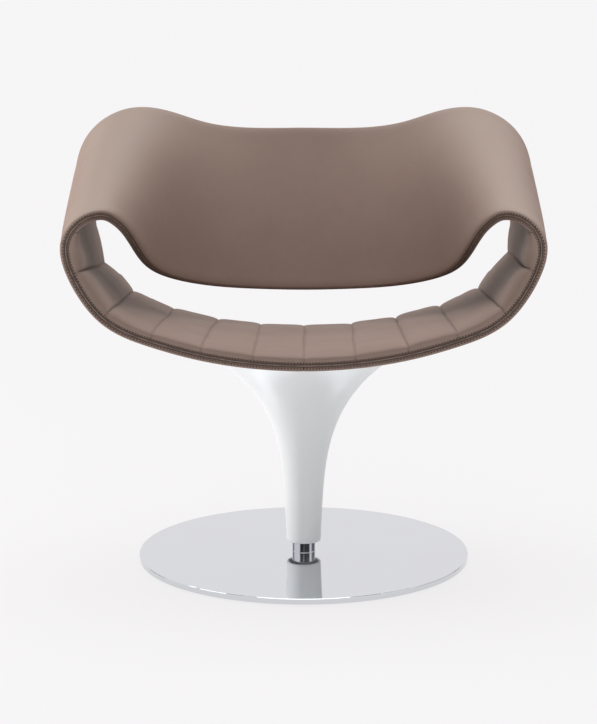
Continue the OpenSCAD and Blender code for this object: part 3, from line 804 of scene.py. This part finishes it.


# Finishes
# Distances from a needle hole's middle over which its painted shade and its dent fade out
HOLE_EDGE = (0.85 * MM, 1.4 * MM)
PUCKER_EDGE = (0.6 * MM, 2.6 * MM)
# Reach from the groove over which the edge band's painted shade and extra roughness fade out, and where they
# end on the covers and the pad
BAND_FADE = 4 * MM
COVER_BAND_END = 9 * MM
PAD_BAND_END = 14 * MM
COVER_NAP = 0.08
PAD_NAP = 0.36
# Share of the painted sheen on the covers' upward faces; the pad has none
COVER_PAINTED_SHEEN = 0.9
PAD_TONE = 0.97
THREAD_TONE = 1.2
LEATHER_SHEEN = {"Specular IOR Level": 0.04, "Sheen Roughness": 0.45, "Sheen Tint": (0.62, 0.52, 0.47, 1.0)}
CHROME_TINT = (0.865, 0.88, 0.895)
MOULDED_ROUGHNESS = {"black_rubber": 0.7, "bush_plastic": 0.45, "core_shell": 0.6}
# Roughness, scale of the scratches and how metallic each plain metal or coat of paint is
METAL_LOOKS = {"bright_steel": (0.3, 220.0, 1.0), "dark_steel": (0.45, 180.0, 1.0),
               "cage_brass": (0.35, 240.0, 1.0), "carrier_paint": (0.5, 90.0, 0.0)}


def leather_tone(tree, place, colour, painted_sheen):
    """Drifting tone with a few darker patches, and painted sheen that makes it paler where it faces up."""
    drift = tree.noise(place, 7.0, 3.0)
    patch = tree.noise(place, 55.0, 2.0)
    tone = tree.mix(tree.fade(drift, 0.3, 0.7), shade(colour, 0.97), shade(colour, 1.03))
    tone = tree.mix(tree.fade(patch, 0.35, 0.75) * 0.2, tone, shade(colour, 0.9))
    # Painted sheen: upward faces turn paler and greyer, as under the overhead light
    return tree.mix(tree.upward(0.35, 0.95) * painted_sheen, tone, painted_sheen_tone(colour))


def leather_grain(tree, place):
    """Relief of fine cells, pores and a soft unevenness."""
    cells = tree.add("ShaderNodeTexVoronoi", {"feature": "DISTANCE_TO_EDGE"},
                     {"Vector": place, "Scale": 850.0, "Randomness": 1.0}, "Distance")
    pores = tree.noise(place, 2400.0, 1.0)
    soft = tree.noise(place, 130.0, 2.0)
    height = tree.fade(cells, 0.0, 0.35) * 0.06 + pores * 0.03 + soft * 0.35
    return tree.bump(height, 0.6 * MM, 0.55)


def leather(name, colour, nap, painted_sheen, band_end):
    """Smooth leather: painted shade in its edge band, creases and needle holes, painted sheen on upward faces
    as asked, and puckers along the rows.
    """
    material, tree = new_material(name)
    place = tree.place()
    stitch, reach, crease = (tree.attribute(n) for n in ("stitch", "reach", "crease"))
    off_row = reach - ROW_REACH
    off_hole = (tree.maths("FRACT", stitch + 0.5) - 0.5) * STITCH_PITCH
    distance = tree.maths("SQRT", off_row * off_row + off_hole * off_hole)
    hole = tree.fade(distance, *HOLE_EDGE, 1.0, 0.0)
    near_row = tree.fade(tree.maths("ABSOLUTE", off_row), *PUCKER_EDGE, 1.0, 0.0)
    pucker = near_row * (1 - tree.maths("COSINE", stitch * (2 * math.pi))) * 0.5
    edge_band = tree.fade(reach, band_end - BAND_FADE, band_end, 1.0, 0.0)
    tone = leather_tone(tree, place, colour, painted_sheen)
    # Painted shade over the edge band
    tone = tree.mix(edge_band * 0.7, tone, painted_shade_tone(colour, 0.42))
    # Painted shade in the creases
    tone = tree.mix(crease * 0.8, tone, painted_shade_tone(colour, 0.22))
    # Needle holes painted nearly black: painted shade in the holes
    tone = tree.mix(hole * 0.9, tone, shade(colour, 0.04))
    relief = tree.bump(pucker * 0.5 - hole, 0.5 * MM, 0.8, leather_grain(tree, place))
    polish = tree.fade(tree.noise(place, 18.0, 3.0), 0.3, 0.7, 0.6, 0.7)
    tree.surface({"Base Color": tone, "Roughness": polish + crease * 0.15 + edge_band * 0.1,
                  "Normal": relief, "Sheen Weight": nap, **LEATHER_SHEEN})
    return material


def piping_leather(colour):
    """Dark piping, worn paler in places."""
    material, tree = new_material("piping_leather")
    place = tree.place()
    wear = tree.fade(tree.noise(place, 90.0, 2.0), 0.35, 0.7)
    tone = tree.mix(wear, shade(colour, 1.05), shade(colour, 1.6))
    fine = tree.bump(tree.noise(place, 1400.0, 2.0), 0.2 * MM, 0.4)
    tree.surface({"Base Color": tone, "Roughness": wear * -0.1 + 0.4, "Normal": fine,
                  "Specular IOR Level": 0.35})
    return material


def thread(colour):
    """Sewing thread with its twist as fine slanting ridges."""
    material, tree = new_material("thread")
    place = tree.place()
    tone = tree.mix(tree.noise(place, 600.0, 1.0), shade(colour, 0.75), shade(colour, 1.0))
    twist = tree.add("ShaderNodeTexWave", {"wave_type": "BANDS", "bands_direction": "DIAGONAL"},
                     {"Vector": place, "Scale": 900.0, "Distortion": 1.0}, "Fac")
    ridges = tree.bump(twist, 0.1 * MM, 0.6)
    tree.surface({"Base Color": tone, "Roughness": twist * 0.15 + 0.5, "Normal": ridges})
    return material


def gloss_moulding(colour):
    """White gloss: faint orange peel, hardly visible cloudiness."""
    material, tree = new_material("gloss_moulding")
    place = tree.place()
    cloud = tree.noise(place, 9.0, 3.0)
    tone = tree.mix(cloud, shade(colour, 0.985), shade(colour, 1.01))
    peel = tree.bump(tree.noise(place, 260.0, 1.0), 0.05 * MM, 0.35)
    tree.surface({"Base Color": tone, "Roughness": tree.fade(cloud, 0.3, 0.7, 0.32, 0.4), "Normal": peel,
                  "Coat Weight": 0.15, "Coat Roughness": 0.25})
    return material


def chrome(colour):
    """Mirror chrome with a trace of polishing marks round the axis and faint smears."""
    material, tree = new_material("chrome")
    place = tree.place()
    smear = tree.fade(tree.noise(place, 6.0, 4.0, 0.6), 0.45, 0.8)
    x = tree.add("ShaderNodeSeparateXYZ", {}, {"Vector": place}, "X")
    y = Field(tree, x.socket.node.outputs["Y"])
    radius = tree.maths("SQRT", x * x + y * y)
    marks = tree.add("ShaderNodeTexNoise", {"noise_dimensions": "1D"},
                     {"W": radius, "Scale": 2600.0, "Detail": 2.0}, "Fac")
    clean = tuple(c * tint for c, tint in zip(colour, CHROME_TINT)) + (1.0,)
    tone = tree.mix(smear * 0.5, clean, shade(colour, 0.85))
    tree.surface({"Base Color": tone, "Metallic": 1.0, "Roughness": smear * 0.05 + marks * 0.02 + 0.015,
                  "Normal": tree.bump(marks, 0.004 * MM, 0.15)})
    return material


def plain_metal(name, colour, rough, scale, metallic):
    """Ground, stamped or coated metal: fine scratches and uneven polish."""
    material, tree = new_material(name)
    place = tree.place()
    streak = tree.add("ShaderNodeMapping", {}, {"Vector": place, "Scale": (1.0, 1.0, 14.0)}, "Vector")
    marks = tree.noise(streak, scale, 3.0, 0.6)
    tone = tree.mix(marks, shade(colour, 0.85), shade(colour, 1.1))
    tree.surface({"Base Color": tone, "Metallic": metallic, "Roughness": marks * 0.2 + (rough - 0.1),
                  "Normal": tree.bump(marks, 0.05 * MM, 0.3)})
    return material


def moulded(name, colour, rough):
    """Plastic or rubber with a fine spark-eroded texture."""
    material, tree = new_material(name)
    place = tree.place()
    dots = tree.noise(place, 1500.0, 2.0)
    cloud = tree.noise(place, 30.0, 3.0)
    tone = tree.mix(cloud, shade(colour, 0.85), shade(colour, 1.15))
    tree.surface({"Base Color": tone, "Roughness": cloud * 0.1 + (rough - 0.05),
                  "Normal": tree.bump(dots, 0.08 * MM, 0.4)})
    return material


COLOURS = {m["slot"]: m["base_color"] for m in frame["record"]["materials"]}


def finishes():
    def colour(slot):
        return tuple(COLOURS[slot])
    cover_colour, pad_colour = colour("cover_leather"), shade(colour("pad_leather"), PAD_TONE)
    made = {
        "cover_leather": leather("cover_leather", cover_colour, COVER_NAP, COVER_PAINTED_SHEEN, COVER_BAND_END),
        "pad_leather": leather("pad_leather", pad_colour, PAD_NAP, 0.0, PAD_BAND_END),
        "piping_leather": piping_leather(colour("piping_leather")),
        "thread": thread(shade(cover_colour, THREAD_TONE)),
        "column_white": gloss_moulding(colour("column_white")),
        "chrome": chrome(colour("chrome")),
    }
    for slot, rough in MOULDED_ROUGHNESS.items():
        made[slot] = moulded(slot, colour(slot), rough)
    for slot, look in METAL_LOOKS.items():
        made[slot] = plain_metal(slot, colour(slot), *look)
    return made


FINISHES = finishes()


def dress(obj, slot, body, *nodes, finish=None):
    """A piece given the finish of its slot, or the one named, put on the body that it rides on, with the
    nodes that it replaces hidden.
    """
    obj.data.materials.clear()
    obj.data.materials.append(FINISHES[finish or slot])
    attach(obj, body)
    if nodes:
        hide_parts(*nodes)
    return obj


# Stitches and piping, made by geometry nodes
STITCH_SEED = 3
STITCH_SKEW = 0.09
BEAD_SEGMENTS = 8
BEAD_RINGS = 6
PIPING_SIDES = 14
SUNK_SHARE = 0.35
PROUD_SHARE = 0.1
WAY_OUT = 5 * MM
RUN_SPAN = 0.004
SEAM_POINTS = 120
SEAM_NOSE_POINTS = 24
FIRST_SHARE = 0.6
LAST_SHARE = 0.4


def node_group(name, inputs):
    """A geometry tree with named inputs, and a way to read them."""
    group = bpy.data.node_groups.new(name, "GeometryNodeTree")
    group.interface.new_socket("Geometry", in_out="INPUT", socket_type="NodeSocketGeometry")
    for label, kind, value in inputs:
        socket = group.interface.new_socket(label, in_out="INPUT", socket_type=kind)
        if value is not None:
            socket.default_value = value
    group.interface.new_socket("Geometry", in_out="OUTPUT", socket_type="NodeSocketGeometry")
    tree = Tree(group)
    given = group.nodes.new("NodeGroupInput")
    return tree, lambda label: Field(tree, given.outputs[label])


def made_by(name, points, edges, vectors, tree, settings):
    """Plain piece that a tree makes from points, edges and vectors stored on the points."""
    mesh = bpy.data.meshes.new(name + "_path")
    mesh.from_pydata(points.tolist(), edges, [])
    for key, value in vectors.items():
        mesh.attributes.new(key, "FLOAT_VECTOR", "POINT").data.foreach_set(
            "vector", np.ascontiguousarray(value, np.float32).reshape(-1))
    source = bpy.data.objects.new(name + "_path", mesh)
    bpy.context.scene.collection.objects.link(source)
    modifier = source.modifiers.new(name, "NODES")
    modifier.node_group = tree.tree
    for socket in tree.tree.interface.items_tree:
        if socket.in_out == "INPUT" and socket.name in settings:
            modifier[socket.identifier] = settings[socket.name]
    made = bpy.data.meshes.new_from_object(source.evaluated_get(bpy.context.evaluated_depsgraph_get()))
    bpy.data.objects.remove(source)
    made.name = name
    obj = bpy.data.objects.new(name, made)
    bpy.context.scene.collection.objects.link(obj)
    return obj


def stitch_tree():
    """A short thread, a fat middle and tapered ends, laid at each point along its run vector."""
    tree, given = node_group("stitches", [
        ("Length", "NodeSocketFloat", STITCH_LENGTH), ("Thickness", "NodeSocketFloat", THREAD_D),
        ("Seed", "NodeSocketInt", STITCH_SEED), ("Thread", "NodeSocketMaterial", None)])
    bead = tree.add("GeometryNodeMeshUVSphere", {},
                    {"Segments": BEAD_SEGMENTS, "Rings": BEAD_RINGS, "Radius": 0.5}, "Mesh")
    thick = given("Thickness")
    size = tree.add("ShaderNodeCombineXYZ", {}, {"X": given("Length"), "Y": thick, "Z": thick})
    bead = tree.add("GeometryNodeTransform", {}, {"Geometry": bead, "Scale": size})
    run, up = (tree.add("GeometryNodeInputNamedAttribute", {"data_type": "FLOAT_VECTOR"},
                        {"Name": name}, "Attribute") for name in ("run", "up"))
    turn = tree.add("FunctionNodeAxesToRotation", {"primary_axis": "X", "secondary_axis": "Z"},
                    {"Primary Axis": run, "Secondary Axis": up})
    skew = tree.add("FunctionNodeRandomValue", {"data_type": "FLOAT"},
                    {"Min_001": -STITCH_SKEW, "Max_001": STITCH_SKEW, "Seed": given("Seed")}, "Value_001")
    twist = tree.add("ShaderNodeCombineXYZ", {}, {"Z": skew})
    laid = tree.add("GeometryNodeInstanceOnPoints", {}, {
        "Points": given("Geometry"), "Instance": bead, "Rotation": turn})
    laid = tree.add("GeometryNodeRotateInstances", {}, {"Instances": laid, "Rotation": twist})
    real = tree.add("GeometryNodeRealizeInstances", {}, {"Geometry": laid})
    real = tree.add("GeometryNodeSetMaterial", {}, {"Geometry": real, "Material": given("Thread")})
    tree.add("NodeGroupOutput", {}, {"Geometry": real})
    return tree


def piping_tree():
    """A round cord of leather along the path."""
    tree, given = node_group("piping", [
        ("Radius", "NodeSocketFloat", WELT_R), ("Sides", "NodeSocketInt", PIPING_SIDES),
        ("Leather", "NodeSocketMaterial", None)])
    path = tree.add("GeometryNodeMeshToCurve", {}, {"Mesh": given("Geometry")})
    ring = tree.add("GeometryNodeCurvePrimitiveCircle", {},
                    {"Resolution": given("Sides"), "Radius": given("Radius")})
    tube = tree.add("GeometryNodeCurveToMesh", {}, {"Curve": path, "Profile Curve": ring})
    tube = tree.add("GeometryNodeRealizeInstances", {}, {"Geometry": tube})
    tube = tree.add("GeometryNodeSetMaterial", {}, {"Geometry": tube, "Material": given("Leather")})
    tree.add("NodeGroupOutput", {}, {"Geometry": tube})
    return tree


def piping(name, share, node, tree):
    inset = WELT_INSET if share == 0 else -WELT_INSET
    t = np.linspace(0, SPANS, SPANS * STEPS_A_SPAN + 1)[:-1]
    edges = [(i, (i + 1) % len(t)) for i in range(len(t))]
    settings = {"Leather": FINISHES["piping_leather"]}
    obj = made_by(name, strip_point(t, share, inset, 0), edges, {}, tree, settings)
    obj.data.shade_smooth()
    return dress(obj, "piping_leather", "seat", node)


def edge_place(share, side, t):
    """Places in the dents of one row along an edge, and the way out of the leather there."""
    inwards = 1 if share == 0 else -1
    sunk = ROW_DEPTH - THREAD_D * SUNK_SHARE
    here = strip_point(t, share, inwards * sunk, side * ROW_N)
    return here, unit(here - strip_point(t, share, inwards * (sunk + WAY_OUT), side * ROW_N))


def edge_rows():
    """Stitches of both rows along both edges."""
    points, runs, ups = [], [], []
    for share, at, count in ((0, FRONT_AT, FRONT_COUNT), (1, REAR_AT, REAR_COUNT)):
        t = at(np.arange(count) + 0.5)
        for side in (-1, 1):
            here, up = edge_place(share, side, t)
            ahead, behind = edge_place(share, side, t + RUN_SPAN)[0], edge_place(share, side, t - RUN_SPAN)[0]
            points.append(here)
            runs.append(unit(ahead - behind))
            ups.append(up)
    return np.concatenate(points), {"run": np.concatenate(runs), "up": np.concatenate(ups)}


def channel_rows():
    """Stitches in the bottom of each sewn channel of the pad, over both noses."""
    points, runs, ups = [], [], []
    places = seam_places()
    angle = np.linspace(0, math.pi / 2, SEAM_NOSE_POINTS)
    main = np.linspace(0, 1, SEAM_POINTS)[1:-1]
    share = np.concatenate([0 * angle, main, 1 + 0 * angle])
    inset = nose_inset(angle, main)
    rise = nose_rise(angle, len(main))
    s = share + inset / PAD_WIDTH
    for i in range(1, len(places) - 1):
        t = places[i] + seam_wander(i, s)
        n = BAND_TOP + rise * (HALF_T - BAND_TOP + channel_height(places[i - 1], places[i], 1.0, s))
        line, above = strip_point(t, share, inset, n), strip_point(t, share, inset, n + MM)
        run = run_along(line)
        marks = np.arange(CHANNEL_PITCH * FIRST_SHARE, run[-1] - CHANNEL_PITCH * LAST_SHARE, CHANNEL_PITCH)
        at, ahead, over = (np.stack([np.interp(m, run, l[:, k]) for k in range(3)], 1)
                           for m, l in ((marks, line), (marks + MM, line), (marks, above)))
        up = unit(over - at)
        points.append(at + up * THREAD_D * PROUD_SHARE)
        runs.append(unit(ahead - at))
        ups.append(up)
    return np.concatenate(points), {"run": np.concatenate(runs), "up": np.concatenate(ups)}


def stitching(name, rows, tree, length):
    points, vectors = rows
    obj = made_by(name, points, [], vectors, tree, {"Thread": FINISHES["thread"], "Length": length})
    obj.data.shade_smooth()
    return dress(obj, "piping_leather", "seat", finish="thread")


# The leather work: each cover with its node, its ends, the face that it lies on and any middle seam
COVERS = [("underside_leather", "underside_cover", -COVER_SEAM, COVER_SEAM, -1, True),
          ("upper_leather", "upper_cover", COVER_SEAM, SPANS - COVER_SEAM, -1, False),
          ("inner_leather", "inner_cover", PAD_END, SPANS - PAD_END, 1, False)]
gap = END_GAP / SPAN_LENGTH
for name, replaced, start, end, side, middle_seam in COVERS:
    dress(cover(name, start + gap, end - gap, side, middle_seam), "cover_leather", "seat", replaced)
pad_piece = dress(seat_pad(), "pad_leather", "seat", "seat_pad")
threads = stitch_tree()
pipes = piping_tree()
piping("front_piping", 0, "front_welt", pipes)
piping("rear_piping", 1, "rear_welt", pipes)
stitching("edge_stitching", edge_rows(), threads, STITCH_LENGTH)
stitching("channel_stitching", channel_rows(), threads, CHANNEL_STITCH)

# The pedestal
dress(post_bead(), "chrome", "base")
dress(column_moulding(), "column_white", "seat", "column_shell")
for part in frame["record"]["subparts"]:
    node = frame["nodes"][part["node"]]
    if not node.hide_render:
        node.data.materials.clear()
        node.data.materials.append(FINISHES[part["material_slot"]])

# Studio: pale floor and surroundings, soft light from above and weaker from the front and the left
PALE = (0.930, 0.913, 0.922, 1.0)
COOL = (0.965, 1.0, 1.01)
FLOOR_SIZE = 40.0
FLOOR_DROP = 0.3 * MM
FLOOR_MATT = (0.64, 0.63, 0.635, 1.0)
FLOOR_STRENGTH = 0.978
FLOOR_GLOW = 0.87
# Sky's even level, and by how much it grows upwards, to both sides and to the rear
SKY = (0.63, 0.60, -0.72, 0.24)
# Dim gaps of the mirrored room: degrees round from the front, half their width, and their depth
ROOM_GAPS = [(-16, 23, 0.97), (34, 30, 0.97), (6, 16, 0.8), (112, 30, 0.8), (-120, 12, 0.8)]
# The gaps fade out between these heights of the mirrored ray
GAP_HEIGHTS = (0.28, 0.315)
# Energy of each diffuser, the angle that it fills in degrees, and the way towards it
DIFFUSERS = {"overhead": (2.6, 60, (-0.05, 0.3, 0.95)), "front_diffuser": (0.3, 50, (0, -0.75, 0.66))}
PANEL_WIDTH = 0.5
PANEL_LENGTH = 0.6
PANEL_ENERGY = 24
PANEL_PLACE = (-2.1, 0.3, 0.3)
PANEL_BACK = (-2.1, 0.3, 0)

# Camera: the picture's height, the lens and the frame's sideways offset in pixels, and the eye
VIEW_HEIGHT = 724
VIEW_FOCUS = 2422.1
VIEW_OFFSET = 5.2
VIEW_PLACE = (0.0, -4.129, 1.212)
VIEW_DIP = 11.77
SENSOR = 36.0


def path_kinds(tree):
    """Whether a ray comes from the camera, a mirror or glass, and whether it comes from a mirror."""
    path = tree.add("ShaderNodeLightPath", {}, {}, "Is Camera Ray")
    outputs = path.socket.node.outputs
    mirror = Field(tree, outputs["Is Glossy Ray"])
    seen = tree.maths("MAXIMUM", path, mirror)
    return tree.maths("MAXIMUM", seen, Field(tree, outputs["Is Transmission Ray"])), mirror


def studio_floor():
    bpy.ops.mesh.primitive_plane_add(size=FLOOR_SIZE, location=(0, 0, -FLOOR_DROP))
    floor = bpy.context.active_object
    floor.name = "studio_floor"
    material, tree = new_material("studio_floor")
    seen, _ = path_kinds(tree)
    matt = tree.add("ShaderNodeBsdfDiffuse", {}, {"Color": FLOOR_MATT}, "BSDF")
    glow = tree.add("ShaderNodeEmission", {}, {"Color": PALE, "Strength": FLOOR_STRENGTH}, "Emission")
    both = tree.add("ShaderNodeMixShader", {}, {0: seen * FLOOR_GLOW, 1: matt, 2: glow}, "Shader")
    tree.add("ShaderNodeOutputMaterial", {}, {"Surface": both})
    floor.data.materials.append(material)


def sky(x, y, z):
    """Level of the studio's soft light from a direction."""
    even, up, sides, rear = SKY
    return z * up + x * x * sides + y * rear + even


def mirrored_room(tree, x, y, z):
    """What chrome shows: a pale sweep all round, with dim gaps between its lit panels near the floor."""
    around = tree.maths("ARCTAN2", x, y * -1) * (180 / math.pi)
    low = tree.fade(z, *GAP_HEIGHTS, 1.0, 0.0)
    level = 1
    for middle, half, depth in ROOM_GAPS:
        off = tree.maths("ABSOLUTE", around - middle)
        level = (1 - tree.fade(off, half * 0.6, half * 1.2, depth, 0.0) * low) * level
    return level


def surroundings():
    world = bpy.data.worlds.new("studio")
    bpy.context.scene.world = world
    world.use_nodes = True
    tree = Tree(world.node_tree)
    seen, mirror = path_kinds(tree)
    way = tree.add("ShaderNodeTexCoord", {}, {}, "Generated")
    split = tree.add("ShaderNodeSeparateXYZ", {}, {"Vector": way}, "X")
    x, y, z = (Field(tree, split.socket.node.outputs[k]) for k in "XYZ")
    soft = tree.maths("MAXIMUM", sky(x, y, z), 0.0)
    shown = 1 - mirror * (1 - mirrored_room(tree, x, y, z))
    light = tree.add("ShaderNodeBackground", {}, {"Color": COOL + (1.0,), "Strength": soft}, "Background")
    pale = tree.add("ShaderNodeBackground", {}, {"Color": PALE, "Strength": shown}, "Background")
    both = tree.add("ShaderNodeMixShader", {}, {0: seen, 1: light, 2: pale}, "Shader")
    tree.add("ShaderNodeOutputWorld", {}, {"Surface": both})


def hang(name, data, place, back):
    """Light at a place, with its back turned the given way."""
    obj = bpy.data.objects.new(name, data)
    obj.location = place
    obj.rotation_mode = "QUATERNION"
    obj.rotation_quaternion = Vector(back).to_track_quat("Z", "Y")
    bpy.context.scene.collection.objects.link(obj)
    return obj


def diffuser(name, energy, angle, towards):
    """Wide soft light, as from a large diffuser far away in the given direction."""
    data = bpy.data.lights.new(name, "SUN")
    data.energy = energy
    data.color = COOL
    data.angle = math.radians(angle)
    hang(name, data, (0, 0, 2), towards)


def side_panel():
    """Low lit panel left of the chair, as seen from the front, which lights the column's side."""
    data = bpy.data.lights.new("side_panel", "AREA")
    data.shape = "RECTANGLE"
    data.size, data.size_y = PANEL_WIDTH, PANEL_LENGTH
    data.energy = PANEL_ENERGY
    panel = hang("side_panel", data, PANEL_PLACE, PANEL_BACK)
    panel.visible_camera = panel.visible_glossy = False


def camera():
    """The photograph's view: level of the eye, tilt, and the frame's slight offset."""
    data = bpy.data.cameras.new("camera")
    data.sensor_width = SENSOR
    data.lens = SENSOR * VIEW_FOCUS / VIEW_HEIGHT
    data.shift_x = -VIEW_OFFSET / VIEW_HEIGHT
    obj = bpy.data.objects.new("camera", data)
    obj.location = VIEW_PLACE
    obj.rotation_euler = (math.radians(90 - VIEW_DIP), 0.0, 0.0)
    bpy.context.scene.collection.objects.link(obj)
    bpy.context.scene.camera = obj


studio_floor()
surroundings()
for name, (energy, angle, towards) in DIFFUSERS.items():
    diffuser(name, energy, angle, towards)
side_panel()
camera()
bpy.context.scene.view_settings.view_transform = "Standard"
